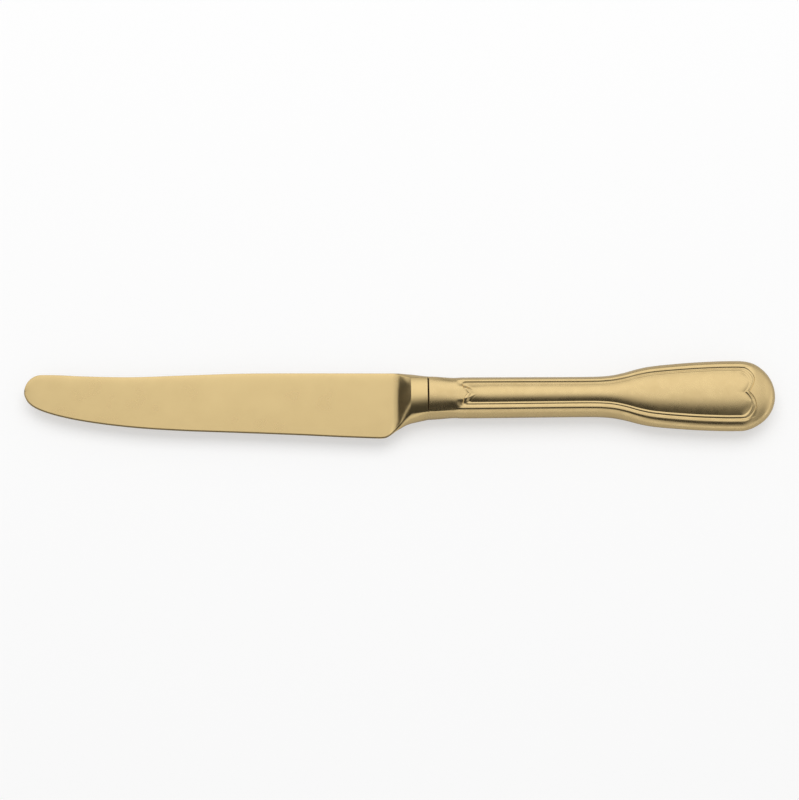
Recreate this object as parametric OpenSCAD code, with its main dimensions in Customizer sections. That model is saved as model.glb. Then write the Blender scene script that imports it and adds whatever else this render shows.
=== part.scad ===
// Table knife with a hollow handle in the fiddle-and-thread pattern.
// The blade, its bolster, its spigot and its tang are one forging.
// Two stamped half shells, joined edge to edge, make the handle, and cement round the tang fills it.
// X runs from the tip of the blade to the butt of the handle, the cutting edge faces -Y and the
// front of the knife faces +Z. The knife lies on its back.

/* [Blade] */
// Length from the tip to the foot of the bolster's ramp
blade_length = 117.2; // [102:0.2:132]
// Height of the spine above the handle's axis
spine_rise = 8.7; // [8:0.1:10.5]
// Depth of the heel below the handle's axis
heel_depth = 13.6; // [11:0.1:16]
// Height of the tip's foremost point above the handle's axis
tip_rise = 3.1; // [1:0.1:4]
// Length over which the tip rounds into the spine
tip_round = 5.2; // [4:0.1:8]
// Length of the slanted heel, from its corner to the bolster
heel_length = 8.4; // [6:0.1:12]
// Thickness of the spine at the bolster
spine_thickness = 2.2; // [1.6:0.1:2.8]
// Thickness of the spine at the tip
tip_thickness = 1.2; // [0.9:0.1:1.6]
// Thickness of the cutting edge
edge_thickness = 0.4; // [0.2:0.05:0.8]

/* [Bolster and tang] */
// Length of the concave ramp from the blade up to the bolster
ramp_length = 6.6; // [5:0.1:8]
// Length of the crowned bolster behind the ramp
bolster_length = 5.5; // [4:0.1:9]
// Extra half width of the bolster at its front
bolster_flare = 1.1; // [0.3:0.05:1.5]
// Extra half width there of the bolster's crowned face alone
bolster_face_flare = 0.3; // [0:0.05:0.3]
// How far the bolster's front lies towards the cutting edge from the handle's axis
bolster_drop = 0.25; // [0:0.05:0.6]
// How much further back the ramp's foot lies as it comes down the blade
ramp_slant = 0.3; // [0:0.1:1]
// How much further forward the ramp reaches along the heel than along the spine
ramp_reach = 1.7; // [0:0.1:2]
// Length of the spigot that centres the bolster in the handle
spigot_length = 9; // [6:0.5:14]
// Length of the tang behind the spigot
tang_length = 60; // [40:1:75]
// Width of the tang where it leaves the spigot
tang_width = 7; // [5:0.1:9]
// Width of the tang at its end
tang_end_width = 5; // [3:0.1:7]
// Thickness of the tang
tang_thickness = 3; // [2:0.1:4]
// Thickness of the tang at its end
tang_end_thickness = 2; // [1.5:0.1:2.5]

/* [Handle] */
// Length of the handle from the seam to the butt
handle_length = 110.7; // [100:0.1:125]
// Half width at the seam with the bolster
seam_half_width = 7.05; // [6.5:0.05:8]
// Half width of the plain neck at its narrowest
neck_half_width = 6.6; // [6:0.05:7.5]
// Half width of the stem
stem_half_width = 6.72; // [6.1:0.02:7.6]
// Half width lost along the stem
stem_taper = 0.12; // [0:0.02:0.4]
// Greatest half width of the butt
butt_half_width = 11.8; // [9.5:0.1:14]
// Length of the neck that has no border
neck_length = 8.5; // [7:0.1:9.5]
// Distance from the seam to the end of the stem, where the fiddle's shoulders begin
stem_length = 50; // [40:0.5:58]
// Crown of the handle above its mid-plane at the seam
seam_crown = 5; // [4.6:0.05:5.6]
// Crown of the handle above its mid-plane at the stem and the butt
handle_crown = 4.15; // [4:0.05:4.8]
// Length over which the crown falls from the seam's to the stem's
crown_fall = 20; // [14:0.5:30]
// Height of the side wall's top corner at the seam
seam_wall = 3.5; // [3:0.05:3.8]
// Height of the side wall's top corner at the stem
stem_wall = 3; // [2.6:0.05:3.2]
// Height of the side wall's top corner at the butt
butt_wall = 2.1; // [1.2:0.05:2.3]
// Bulge of the side wall past its top corner
wall_bulge = 1.25; // [0.8:0.05:1.5]
// Thickness of the stamped shells
shell_thickness = 0.8; // [0.5:0.05:1]

/* [Thread border] */
// Width of the rim's slope at the stem
stem_rim_slope = 0.92; // [0.7:0.02:1.2]
// Width of the rim's slope at the butt
butt_rim_slope = 1.25; // [0.9:0.02:1.7]
// Distance from the rim's crest in to the outer groove
outer_groove_inset = 0.7; // [0.5:0.02:0.9]
// Distance from the rim's crest in to the thread's crest
thread_inset = 1.25; // [1:0.02:1.45]
// Distance from the rim's crest in to the inner groove, which borders the panel
inner_groove_inset = 1.83; // [1.6:0.02:2.1]
// Height of the rim's crest at the stem
stem_rim_height = 3.65; // [3.5:0.02:3.8]
// Height of the rim's crest at the butt
butt_rim_height = 2.95; // [2.7:0.02:3.1]
// Depth of the outer groove below the rim's crest
outer_groove_depth = 0.24; // [0.1:0.02:0.35]
// Height of the thread's crest above the outer groove
thread_height = 0.3; // [0.1:0.02:0.4]
// Depth of the inner groove below the thread's crest
inner_groove_depth = 0.22; // [0.1:0.02:0.4]
// Depth of the two grooves where they cross the crown
closure_depth = 0.18; // [0.08:0.02:0.3]
// Distance from the seam to the outer groove's lobes at the neck
neck_closure_start = 10.7; // [10:0.1:12.5]
// Distance from the butt to the outer groove's lobes
butt_closure_start = 6.1; // [5:0.1:8]
// Distance between the lobes of one groove line and the next
closure_pitch = 0.9; // [0.7:0.05:1.2]
// Depth of the cusp between the lobes at the neck
neck_cusp_depth = 1.4; // [0.8:0.1:2]
// Depth of the cusp between the lobes at the butt
butt_cusp_depth = 1.9; // [1:0.1:2.6]
// Length of the rounded corners at the neck
neck_corner_length = 1.2; // [0.8:0.1:2]
// Length of the rounded corners at the butt
butt_corner_length = 3.3; // [2:0.1:4]

/* [Fits] */
// Clearance of the spigot in the handle
spigot_clearance = 0.05; // [0.03:0.01:0.1]
// Clearance between the cement and what it fills
cement_clearance = 0.1; // [0.08:0.01:0.2]

/* [Hidden] */

gold = "#d8bd83";
cement_grey = "#8d8679";

forged_length = blade_length + ramp_length + bolster_length;
knife_length = forged_length + handle_length;
tip_x = -knife_length / 2;
seam_x = tip_x + forged_length;
// The origin lies under the middle of the knife's box
axis_y = (heel_depth - butt_half_width) / 2;
mid_z = seam_crown;

// Values that follow a smooth rule

function mix(a, b, share) = a + (b - a) * share;
function clamp01(share) = min(1, max(0, share));
function ease(share) = let (u = clamp01(share)) u * u * (3 - 2 * u);

// Smooth curve through a table of [place, value] pairs, with the slope at each entry
// taken from the entries beside it
function table_slope(table, i) =
    let (a = max(0, i - 1), b = min(len(table) - 1, i + 1))
    (table[b][1] - table[a][1]) / (table[b][0] - table[a][0]);
function table_step(table, place) =
    max([for (i = [0 : len(table) - 2]) if (i == 0 || place >= table[i][0]) i]);
function smooth_value(table, place) =
    let (
        i = table_step(table, place),
        span = table[i + 1][0] - table[i][0],
        u = clamp01((place - table[i][0]) / span),
        a = table[i][1],
        b = table[i + 1][1]
    )
    mix(a, b, ease(u))
    + span * u * (1 - u) * ((1 - u) * table_slope(table, i) - u * table_slope(table, i + 1));

// Closed surfaces from rings of equal count

// Two rings are joined by triangles that mirror each other across the rings' line of symmetry
function band(next, prev, count) = [
    for (i = [0 : count - 1])
        let (j = (i + 1) % count)
        each i < count / 2
            ? [[next + i, next + j, prev + j], [next + i, prev + j, prev + i]]
            : [[next + i, next + j, prev + i], [next + j, prev + j, prev + i]]
];
// A ring is capped across its line of symmetry, on which its first point and its middle one lie
function cap(start, count) = [
    for (i = [0 : count / 2 - 1])
        let (far = count - i)
        each [
            if (i + 1 < far - 1) [start + i, start + i + 1, start + far - 1],
            if (i > 0) [start + i, start + far - 1, start + far]
        ]
];
function turned(faces) = [for (face = faces) [face[2], face[1], face[0]]];

module skin(rings) {
    count = len(rings[0]);
    last = len(rings) - 1;
    polyhedron(
        points = [for (ring = rings) each ring],
        faces = concat(
            cap(0, count),
            [for (k = [0 : last - 1]) each band((k + 1) * count, k * count, count)],
            turned(cap(last * count, count))
        )
    );
}

// Outline of the handle. Places along it are measured from the seam.

end_centre = handle_length - butt_half_width;
rim_start = neck_length + neck_corner_length * 2;
flare_shares = [
    [0, 0], [0.1, 0.02], [0.18, 0.092], [0.26, 0.257], [0.34, 0.478], [0.41, 0.632],
    [0.49, 0.735], [0.57, 0.81], [0.73, 0.927], [0.9, 0.995], [1, 1]
];
function flare(s) = smooth_value(flare_shares, clamp01((s - stem_length) / (end_centre - stem_length)));
stem_end_half_width = stem_half_width - stem_taper;
function half_width(s) =
    s < neck_length ? mix(seam_half_width, neck_half_width, ease(s / neck_length))
    : s < rim_start
        ? mix(neck_half_width, stem_half_width, ease((s - neck_length) / (rim_start - neck_length)))
    : s < stem_length ? stem_half_width - stem_taper * ease((s - rim_start) / (stem_length - rim_start))
    : mix(stem_end_half_width, butt_half_width, flare(s));

// Crown and wall heights along the handle, above its mid-plane

function crown(s) = mix(seam_crown, handle_crown, ease(s / crown_fall));
function wall(s) =
    s < rim_start ? mix(seam_wall, stem_wall, ease(s / rim_start)) : mix(stem_wall, butt_wall, flare(s));
function rim_slope(s) = mix(stem_rim_slope, butt_rim_slope, flare(s));
seam_dome_power = 2.2;
handle_dome_power = 4;
function dome_power(s) = mix(seam_dome_power, handle_dome_power, ease(s / crown_fall));

// Share of the way out from the handle's axis, or from the centre of its round end, to the outline
function out_share(s, y) =
    s < end_centre ? abs(y) / half_width(s) : norm([s - end_centre, y]) / butt_half_width;
function width_there(s) = half_width(min(s, end_centre));

// Height of a section at a distance out from its middle: a bulging side wall, and a dome above its corner
function section_height(out, full, low, high, bend) =
    let (corner = full - wall_bulge)
    out >= full ? 0
    : out > corner ? low * sqrt((full - out) / wall_bulge)
    : mix(high, low, pow(out / corner, bend));
function plain_height(s, y) = section_height(
    out_share(s, y) * width_there(s), width_there(s), wall(s), crown(s), dome_power(s)
);

// Half rings of the handle's face run from the axis at the seam round to the axis at the butt,
// as [place, y] points. Each step of the ladder is an inset from the outline and a share of the
// rim's slope: outline, wall, wall's top corner, slope, rim's crest, and two places inside it.

end_steps = 5;
corner_steps = 6;
side_shares = [0.05, 0.13, 0.22, 0.31, 0.38, 0.43, 0.48, 0.53, 0.58, 0.63, 0.69, 0.76, 0.84, 0.92];
inner_seam_shares = [0, 0.26, 0.52, 0.78];
neck_side_shares = [0.3, 0.6, 0.85, 1];
butt_angle_shares = [0.93, 0.86, 0.78, 0.69, 0.6, 0.51, 0.42, 0.33, 0.24, 0.16, 0.08, 0];
neck_side_length = rim_start + neck_corner_length;
wall_step_share = 0.25;
slope_step_share = 0.5;
ladder = [
    [0, 0], [wall_bulge * wall_step_share, 0], [wall_bulge, 0], [wall_bulge, slope_step_share],
    [wall_bulge, 1], [wall_bulge + outer_groove_inset, 1], [wall_bulge + inner_groove_inset, 1]
];
// Each ring starts a little behind the one outside it, and its places crowd towards the rim's start
setback_share = 0.15;
outline_setback = shell_thickness * setback_share;
crowding_share = 0.4;
function ladder_inset(s, step) = ladder[step][0] + rim_slope(s) * ladder[step][1];
function open_half(step, inset = 0) =
    let (
        setback = outline_setback * step,
        side = function (s, k) half_width(s) - inset - ladder_inset(s, k),
        end_radius = butt_half_width - inset - ladder_inset(end_centre, step)
    )
    [
        for (v = inner_seam_shares) [setback, side(setback, step + 2) * v],
        for (k = [step + 2 : -1 : step]) [setback, side(setback, k)],
        for (v = neck_side_shares)
            let (s = mix(setback, neck_side_length, pow(v, 1 / (1 + step * crowding_share))))
            [s, side(s, step)],
        for (v = side_shares) let (s = mix(neck_side_length, end_centre, v)) [s, side(s, step)],
        [end_centre, end_radius],
        for (v = butt_angle_shares)
            [end_centre + end_radius * cos(v * 90), end_radius * sin(v * 90)]
    ];

// A closed half follows a groove or the thread, and ends in a lobe and a cusp at either end.
// Line 0 is the outer groove, 1 the thread and 2 the inner groove.
neck_lobe_share = 0.8;
butt_lobe_share = 0.5;
cusp_power = 1.4;
neck_pitch_share = 1.3;
butt_pitch_share = 0.8;
neck_cusp_loss_share = 0.22;
function line_side(s, inset) =
    let (
        past = max(0, s - end_centre),
        crest = width_there(s) - ladder_inset(min(s, end_centre), 4) - inset
    )
    sqrt(crest * crest - past * past);
function closed_half(inset, line) =
    let (
        neck_lobe = neck_closure_start + closure_pitch * neck_pitch_share * line,
        butt_lobe = handle_length - butt_closure_start - closure_pitch * butt_pitch_share * line,
        neck_cusp = neck_cusp_depth * (1 - neck_cusp_loss_share * line),
        side_start = neck_lobe + neck_corner_length,
        side_end = butt_lobe - butt_corner_length,
        neck_y = line_side(side_start, inset),
        butt_lobe_y = line_side(side_end, inset) * butt_lobe_share
    )
    [
        for (i = [0 : end_steps - 1])
            let (v = i / end_steps)
            [neck_lobe + neck_cusp * pow(1 - v, cusp_power), neck_y * neck_lobe_share * v],
        for (i = [0 : corner_steps - 1])
            let (a = 90 * i / corner_steps)
            [neck_lobe + neck_corner_length * (1 - cos(a)), neck_y * mix(neck_lobe_share, 1, sin(a))],
        for (v = side_shares) let (s = mix(side_start, end_centre, v)) [s, line_side(s, inset)],
        [end_centre, line_side(end_centre, inset)],
        for (i = [0 : corner_steps])
            let (a = 90 - 90 * i / corner_steps, s = butt_lobe - butt_corner_length * (1 - cos(a)))
            [s, mix(butt_lobe_y, line_side(s, inset), sin(a))],
        for (i = [1 : end_steps])
            let (v = 1 - i / end_steps)
            [butt_lobe - butt_cusp_depth * pow(1 - v, cusp_power), butt_lobe_y * v]
    ];
function between(a, b, share) = [for (i = [0 : len(a) - 1]) mix(a[i], b[i], share)];
function drawn_in(half, first, last, share) =
    [for (p = half) mix([min(max(p[0], first), last), 0], p, share)];

// The border's relief is full along the sides. It fades into the plain neck and the plain round
// end, and where its lines cross the crown, leaving only two shallow grooves there.

function rim_height(s) = mix(stem_rim_height, butt_rim_height, flare(s));
butt_fade_length = butt_half_width - butt_closure_start;
fade_end_share = 0.45;
fade_start_share = 0.95;
function border_share(s, y, inset) =
    ease((abs(y) / line_side(s, inset) - fade_end_share) / (fade_start_share - fade_end_share))
    * ease((s - neck_length) / (rim_start - neck_length))
    * ease((handle_length - butt_closure_start + closure_pitch - s) / butt_fade_length);
// How far each point of a half ring lies below the plain surface
function border_drops(half, inset, side_drop, closure_drop) = [
    for (p = half)
        let (side = plain_height(p[0], p[1]) - rim_height(p[0]) + side_drop)
        mix(closure_drop, side, border_share(p[0], p[1], inset))
];

// Whole ring in space from a half ring of the front shell
function whole(half, heights) = [
    for (i = [0 : len(half) - 1]) [half[i][0], half[i][1], heights[i]],
    for (i = [len(half) - 2 : -1 : 1]) [half[i][0], -half[i][1], heights[i]]
];
function dropped(half, drops) = whole(half, [
    for (i = [0 : len(half) - 1]) plain_height(half[i][0], half[i][1]) - drops[i]
]);
function border_ring(half, inset, side_drop, closure_drop) =
    dropped(half, border_drops(half, inset, side_drop, closure_drop));

bank_share = 0.4;
bank_inset = outer_groove_inset * bank_share;
bank_half = closed_half(bank_inset, -bank_share);
outer_half = closed_half(outer_groove_inset, 0);
thread_half = closed_half(thread_inset, 1);
inner_half = closed_half(inner_groove_inset, 2);
rim_half = open_half(4);
rim_drops = border_drops(rim_half, 0, 0, 0);
thread_drop = outer_groove_depth - thread_height;
inner_drops = border_drops(inner_half, inner_groove_inset, thread_drop + inner_groove_depth, closure_depth);

// The panel rises from the inner groove as a pillow, rounder on the stem than at the butt
panel_first = inner_half[0][0] + inner_groove_inset;
panel_last = inner_half[len(inner_half) - 1][0] - neck_length;
panel_shares = [0.22, 0.45, 0.66, 0.82, 0.93, 1];
stem_panel_power = 2.1;
butt_panel_power = 4;
function panel_power(s) = mix(stem_panel_power, butt_panel_power, flare(s));
function panel_ring(share) =
    let (half = drawn_in(inner_half, panel_first, panel_last, share))
    dropped(half, [
        for (i = [0 : len(half) - 1]) inner_drops[i] * pow(share, panel_power(half[i][0]))
    ]);

slope_in_shares = [0.35, 0.7];
slope_drop_share = 0.6;
face_rings = concat(
    [for (v = panel_shares) panel_ring(v)],
    [
        border_ring(thread_half, thread_inset, thread_drop, 0),
        border_ring(outer_half, outer_groove_inset, outer_groove_depth, closure_depth),
        border_ring(bank_half, bank_inset, 0, 0)
    ],
    [for (v = slope_in_shares) border_ring(between(bank_half, rim_half, v), 0, 0, 0)],
    [
        dropped(rim_half, rim_drops),
        dropped(open_half(3), [for (drop = rim_drops) drop * slope_drop_share])
    ],
    [for (step = [2 : -1 : 0]) dropped(open_half(step), [for (drop = rim_drops) 0])]
);

// The cavity is a plain dome under the border's grooves

groove_share = 0.6;
groove_allowance = outer_groove_depth * groove_share;
cavity_wall_share = 0.6;
stem_cavity_power = 2;
butt_cavity_power = 4;
function cavity_height(s, y, clearance) =
    let (
        inset = shell_thickness + clearance,
        low = wall(s) - (inset + groove_allowance) * cavity_wall_share,
        high = crown(s) - inset - groove_allowance,
        bend = mix(stem_cavity_power, butt_cavity_power, flare(s))
    )
    section_height(out_share(s, y) * width_there(s), width_there(s) - inset, low, high, bend);
function cavity_ring(half) = whole(half, [for (p = half) cavity_height(p[0], p[1], 0)]);
cavity_shares = [0.84, 0.6, 0.3];
cavity_rings = concat(
    [for (step = [0 : 2]) cavity_ring(open_half(step, shell_thickness))],
    [for (v = cavity_shares)
        cavity_ring(drawn_in(open_half(2, shell_thickness), neck_length, end_centre, v))]
);

module half_shell() {
    skin(concat(face_rings, cavity_rings));
}

module handle_front_shell() {
    color(gold)
        translate([seam_x, axis_y, mid_z])
            half_shell();
}

module handle_back_shell() {
    color(gold)
        translate([seam_x, axis_y, mid_z])
            mirror([0, 0, 1])
                half_shell();
}

// Sections across the length. A front half goes from +Y over the front to -Y, as [y, z] points,
// and the back repeats it below the mid-plane.

function both_sides(places) = concat(places, [for (i = [len(places) - 2 : -1 : 0]) -places[i]]);
// Places across a section that has the handle's side walls
dome_shares = [1, 0.78, 0.52, 0.26, 0];
function across_places(full) =
    both_sides(concat(
        [full, full - wall_bulge * wall_step_share],
        [for (v = dome_shares) (full - wall_bulge) * v]
    ));
bar_shares = both_sides([1, 0.97, 0.86, 0.7, 0.5, 0.25, 0]);
function section(x, front) = [
    for (p = front) [x, p[0], p[1]],
    for (i = [len(front) - 2 : -1 : 1]) [x, front[i][0], -front[i][1]]
];
// Rounded bar, given by its half width and half thickness
bar_power = 8;
function bar_section(s, half_w, half_t) = section(s, [
    for (v = bar_shares) [half_w * v, half_t * pow(1 - pow(abs(v), bar_power), 1 / bar_power)]
]);
function cavity_section(s, clearance) =
    let (
        along_end = max(0, s - end_centre),
        radius = butt_half_width - shell_thickness - clearance,
        half_w = s < end_centre
            ? half_width(s) - shell_thickness - clearance
            : sqrt(max(0, radius * radius - along_end * along_end))
    )
    section(s, [for (y = across_places(half_w)) [y, cavity_height(s, y, clearance)]]);

// The tang's place behind the spigot, and its size there
tang_end = spigot_length + tang_length;
function tang_section(s, clearance) =
    let (share = (s - spigot_length) / tang_length)
    bar_section(
        s,
        mix(tang_width, tang_end_width, share) / 2 + clearance,
        mix(tang_thickness, tang_end_thickness, share) / 2 + clearance
    );

cement_start = spigot_length + cement_clearance;
cement_side_shares = [0, 0.1, 0.2, 0.3, 0.38, 0.43, 0.48, 0.53, 0.58, 0.63, 0.69, 0.76, 0.84, 0.92, 1];
cement_angle_shares = [0.85, 0.7, 0.55, 0.42, 0.3, 0.2, 0.12];

module handle_cement() {
    radius = butt_half_width - shell_thickness - cement_clearance;
    color(cement_grey)
        translate([seam_x, axis_y, mid_z])
            skin(concat(
                [
                    tang_section(tang_end + cement_clearance, cement_clearance),
                    tang_section(cement_start, cement_clearance)
                ],
                [for (v = cement_side_shares)
                    cavity_section(mix(cement_start, end_centre, v), cement_clearance)],
                [for (v = cement_angle_shares)
                    cavity_section(end_centre + radius * cos(v * 90), cement_clearance)]
            ));
}

// Outline of the blade. Places along it are measured from the tip.

tip_land_share = 0.3;
tip_land = edge_thickness * tip_land_share;
bolster_front = blade_length + ramp_length;
heel_place = bolster_front - heel_length;
bolster_top = seam_half_width + bolster_flare - bolster_drop;
bolster_bottom = -seam_half_width - bolster_flare - bolster_drop;
spine_shares = [
    [0, 1.01], [0.082, 1], [0.154, 0.945], [0.287, 0.893],
    [0.43, 0.94], [0.594, 0.995], [0.768, 0.985], [1, 0.952]
];
// Depth of the edge below the tip, against the square root of the distance from the tip
edge_shares = [
    [0, 0], [0.065, 0.12], [0.112, 0.214], [0.17, 0.31], [0.25, 0.419], [0.4, 0.595],
    [0.55, 0.738], [0.66, 0.81], [0.775, 0.862], [0.875, 0.916], [0.94, 0.963], [1, 1]
];
heel_shares = [[0, 0], [0.2, 0.2], [0.4, 0.455], [0.6, 0.67], [0.8, 0.87], [1, 1]];
// The spine eases down to the bolster's top, late along the ramp
spine_turn_power = 2;
function spine_line(t) = spine_rise * smooth_value(spine_shares, t / blade_length);
function spine_y(t) =
    t > blade_length
        ? mix(spine_line(t), bolster_top, pow(ease((t - blade_length) / ramp_length), spine_turn_power))
    : t > tip_round ? spine_line(t)
    : mix(tip_rise, spine_line(t), sqrt(1 - pow(1 - t / tip_round, 2)));
function edge_y(t) =
    t > heel_place
        ? mix(-heel_depth, bolster_bottom, smooth_value(heel_shares, (t - heel_place) / heel_length))
    : mix(tip_rise, -heel_depth, smooth_value(edge_shares, sqrt(t / heel_place)));

// Across the blade, from the spine to the edge: the place and the share of the half thickness there
blade_shares = [
    [0, 0], [0.012, 0.8], [0.04, 1], [0.16, 1], [0.32, 1], [0.48, 1], [0.62, 1],
    [0.74, 1], [0.84, 1], [0.91, 1], [0.96, 1], [0.99, 0.7], [1, 0]
];
function blade_half_thickness(t, across) =
    mix(mix(tip_thickness, spine_thickness, t / blade_length), edge_thickness, across) / 2;

// The bolster's section is the seam's, with its crowned face and more so its side walls stretched
// by a share of the flare, and dropped towards the cutting edge by the same share
function bolster_y(y, flared) =
    let (corner = seam_half_width - wall_bulge)
    sign(y) * (
        min(abs(y), corner) * (1 + bolster_face_flare / corner * flared)
        + max(abs(y) - corner, 0) * (1 + (bolster_flare - bolster_face_flare) / wall_bulge * flared)
    ) - bolster_drop * flared;
function bolster_z(y) = section_height(abs(y), seam_half_width, seam_wall, seam_crown, dome_power(0));

// The blade's section grows into the bolster's along the ramp. The ramp is a concave curve,
// steeper at the spine, and it starts further forward along the heel.
spine_ramp_power = 2.4;
heel_ramp_power = 2.2;
heel_reach_power = 16;
function blade_section(t) =
    let (
        at = max(t, tip_land),
        top = spine_y(at),
        bottom = edge_y(at),
        seam_places = across_places(seam_half_width)
    )
    section(t, [
        for (j = [0 : len(blade_shares) - 1])
            let (
                across = blade_shares[j][0],
                foot = blade_length + ramp_slant * across
                    - (ramp_slant + ramp_reach) * pow(across, heel_reach_power),
                along = clamp01((t - foot) / (bolster_front - foot)),
                rise = pow(along, mix(spine_ramp_power, heel_ramp_power, across)),
                front_share = (bolster_top - bolster_y(seam_places[j], 1)) / (bolster_top - bolster_bottom),
                thin = blade_half_thickness(min(t, blade_length), across) * blade_shares[j][1]
            )
            [mix(top, bottom, mix(across, front_share, rise)), mix(thin, bolster_z(seam_places[j]), rise)]
    ]);
function bolster_section(share) = section(bolster_front + bolster_length * share, [
    for (y = across_places(seam_half_width))
        [bolster_y(y, 1 - share), bolster_z(y)]
]);

blade_root_shares = [
    0, 0.06, 0.09, 0.12, 0.16, 0.2, 0.25, 0.31, 0.38, 0.46, 0.54, 0.62, 0.7, 0.78, 0.86, 0.93, 0.98
];
heel_place_shares = [0, 0.15, 0.3, 0.44, 0.56, 0.67, 0.77, 0.86, 0.93, 0.97, 1];
bolster_place_shares = [0.3, 0.65, 1];
spigot_place_shares = [0, 0.33, 0.67, 1];

module blade() {
    shift = [forged_length, 0, 0];
    color(gold)
        translate([tip_x, axis_y, mid_z])
            skin(concat(
                [for (v = blade_root_shares) blade_section(heel_place * v * v)],
                [for (v = heel_place_shares) blade_section(heel_place + heel_length * v)],
                [for (v = bolster_place_shares) bolster_section(v)],
                [for (v = spigot_place_shares)
                    [for (p = cavity_section(spigot_length * v, spigot_clearance)) p + shift]],
                [[for (p = tang_section(spigot_length, 0)) p + shift]],
                [[for (p = tang_section(tang_end, 0)) p + shift]]
            ));
}

blade();
handle_front_shell();
handle_back_shell();
handle_cement();
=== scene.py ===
import math

import bpy
import numpy as np
from mathutils import Matrix, Vector


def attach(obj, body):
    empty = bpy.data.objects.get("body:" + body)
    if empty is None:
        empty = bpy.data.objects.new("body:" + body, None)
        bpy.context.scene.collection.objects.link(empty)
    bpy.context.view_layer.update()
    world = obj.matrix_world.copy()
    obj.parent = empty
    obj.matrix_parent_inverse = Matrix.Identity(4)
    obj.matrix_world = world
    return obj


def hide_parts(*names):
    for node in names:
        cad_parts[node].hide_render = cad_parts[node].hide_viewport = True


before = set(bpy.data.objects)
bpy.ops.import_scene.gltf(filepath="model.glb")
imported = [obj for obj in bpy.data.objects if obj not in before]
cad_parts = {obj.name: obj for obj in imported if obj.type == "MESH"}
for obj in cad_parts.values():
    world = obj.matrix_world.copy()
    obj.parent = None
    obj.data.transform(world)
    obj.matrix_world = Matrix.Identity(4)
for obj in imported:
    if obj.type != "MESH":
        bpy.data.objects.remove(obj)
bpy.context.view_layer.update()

# The forging. One bar of stainless steel is forged into the blade, the crowned bolster and, inside
# the handle, the spigot and the tang. It is ground, polished to a fine satin and then coated with a
# thin layer of champagne gold. Sizes are in millimetres, measured from the tip unless said.

MM = 0.001
BLADE_LENGTH = 117.2
RAMP_LENGTH = 6.6
BOLSTER_LENGTH = 5.5
BOLSTER_FRONT = BLADE_LENGTH + RAMP_LENGTH
FORGED_LENGTH = BOLSTER_FRONT + BOLSTER_LENGTH
HANDLE_LENGTH = 110.7
TIP_X = -(FORGED_LENGTH + HANDLE_LENGTH) / 2
SEAM_X = TIP_X + FORGED_LENGTH
AXIS_Y = 0.9
MID_Z = 5.0

SPINE_RISE = 8.7
HEEL_DEPTH = 13.6
TIP_RISE = 3.1
TIP_ROUND = 5.2
HEEL_LENGTH = 8.4
HEEL_PLACE = BOLSTER_FRONT - HEEL_LENGTH
SPINE_THICKNESS = 2.2
TIP_THICKNESS = 1.2
EDGE_THICKNESS = 0.4
SEAM_HALF_WIDTH = 7.05
BOLSTER_FLARE = 1.1
BOLSTER_CORNER_FLARE = 0.3
BOLSTER_DROP = 0.25
BOLSTER_TOP = SEAM_HALF_WIDTH + BOLSTER_FLARE - BOLSTER_DROP
BOLSTER_BOTTOM = -SEAM_HALF_WIDTH - BOLSTER_FLARE - BOLSTER_DROP
WALL_BULGE = 1.25
SEAM_WALL = 3.5
SEAM_CROWN = 5.0
SEAM_DOME_POWER = 2.2


def mix(a, b, share):
    """a at share 0 and b at share 1, in a straight line between."""
    return a + (b - a) * share


def ease(share):
    """Smooth step: three times the squared share less twice its cube, held between 0 and 1."""
    share = np.clip(share, 0, 1)
    return share * share * (3 - 2 * share)


def smooth_value(table, place):
    """Cubic curve through a table's places and values, its slope at each entry the chord between
    the entries beside it."""
    places, values = np.array(table, float).T
    after = np.r_[1:len(places), len(places) - 1]
    before = np.r_[0, 0:len(places) - 1]
    slopes = (values[after] - values[before]) / (places[after] - places[before])
    i = np.clip(np.searchsorted(places, place, side="right") - 1, 0, len(places) - 2)
    span = places[i + 1] - places[i]
    u = np.clip((place - places[i]) / span, 0, 1)
    bend = (1 - u) * slopes[i] - u * slopes[i + 1]
    return mix(values[i], values[i + 1], ease(u)) + span * u * (1 - u) * bend


SPINE_SHARES = [
    (0, 1.01), (0.082, 1), (0.154, 0.945), (0.287, 0.893), (0.43, 0.94), (0.594, 0.995),
    (0.768, 0.985), (1, 0.952),
]
EDGE_SHARES = [
    (0, 0), (0.065, 0.12), (0.112, 0.214), (0.17, 0.31), (0.25, 0.419), (0.4, 0.595),
    (0.55, 0.738), (0.66, 0.81), (0.775, 0.862), (0.875, 0.916), (0.94, 0.963), (1, 1),
]
HEEL_SHARES = [(0, 0), (0.2, 0.2), (0.4, 0.455), (0.6, 0.67), (0.8, 0.87), (1, 1)]
HEEL_ROUND = 1.2
HEEL_ROUND_STEPS = 11
SPINE_TURN_POWER = 2


def spine_y(t):
    """Height of the spine: a hollow curve along the blade, a quarter ellipse at the tip, and the
    square of an eased step down to the bolster's top."""
    line = SPINE_RISE * smooth_value(SPINE_SHARES, t / BLADE_LENGTH)
    rounded = mix(TIP_RISE, line, np.sqrt(1 - np.clip(1 - t / TIP_ROUND, 0, 1) ** 2))
    return mix(rounded, BOLSTER_TOP, ease((t - BLADE_LENGTH) / RAMP_LENGTH) ** SPINE_TURN_POWER)


def sharp_edge_y(t):
    """Height of the cutting edge: a belly that falls by its table from the tip, against the square
    root of the place, then a sharp corner, and the heel's rise to the bolster."""
    along = np.sqrt(np.clip(t / HEEL_PLACE, 0, 1))
    belly = mix(TIP_RISE, -HEEL_DEPTH, smooth_value(EDGE_SHARES, along))
    heel = smooth_value(HEEL_SHARES, (t - HEEL_PLACE) / HEEL_LENGTH)
    return np.where(t < HEEL_PLACE, belly, mix(-HEEL_DEPTH, BOLSTER_BOTTOM, heel))


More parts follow.
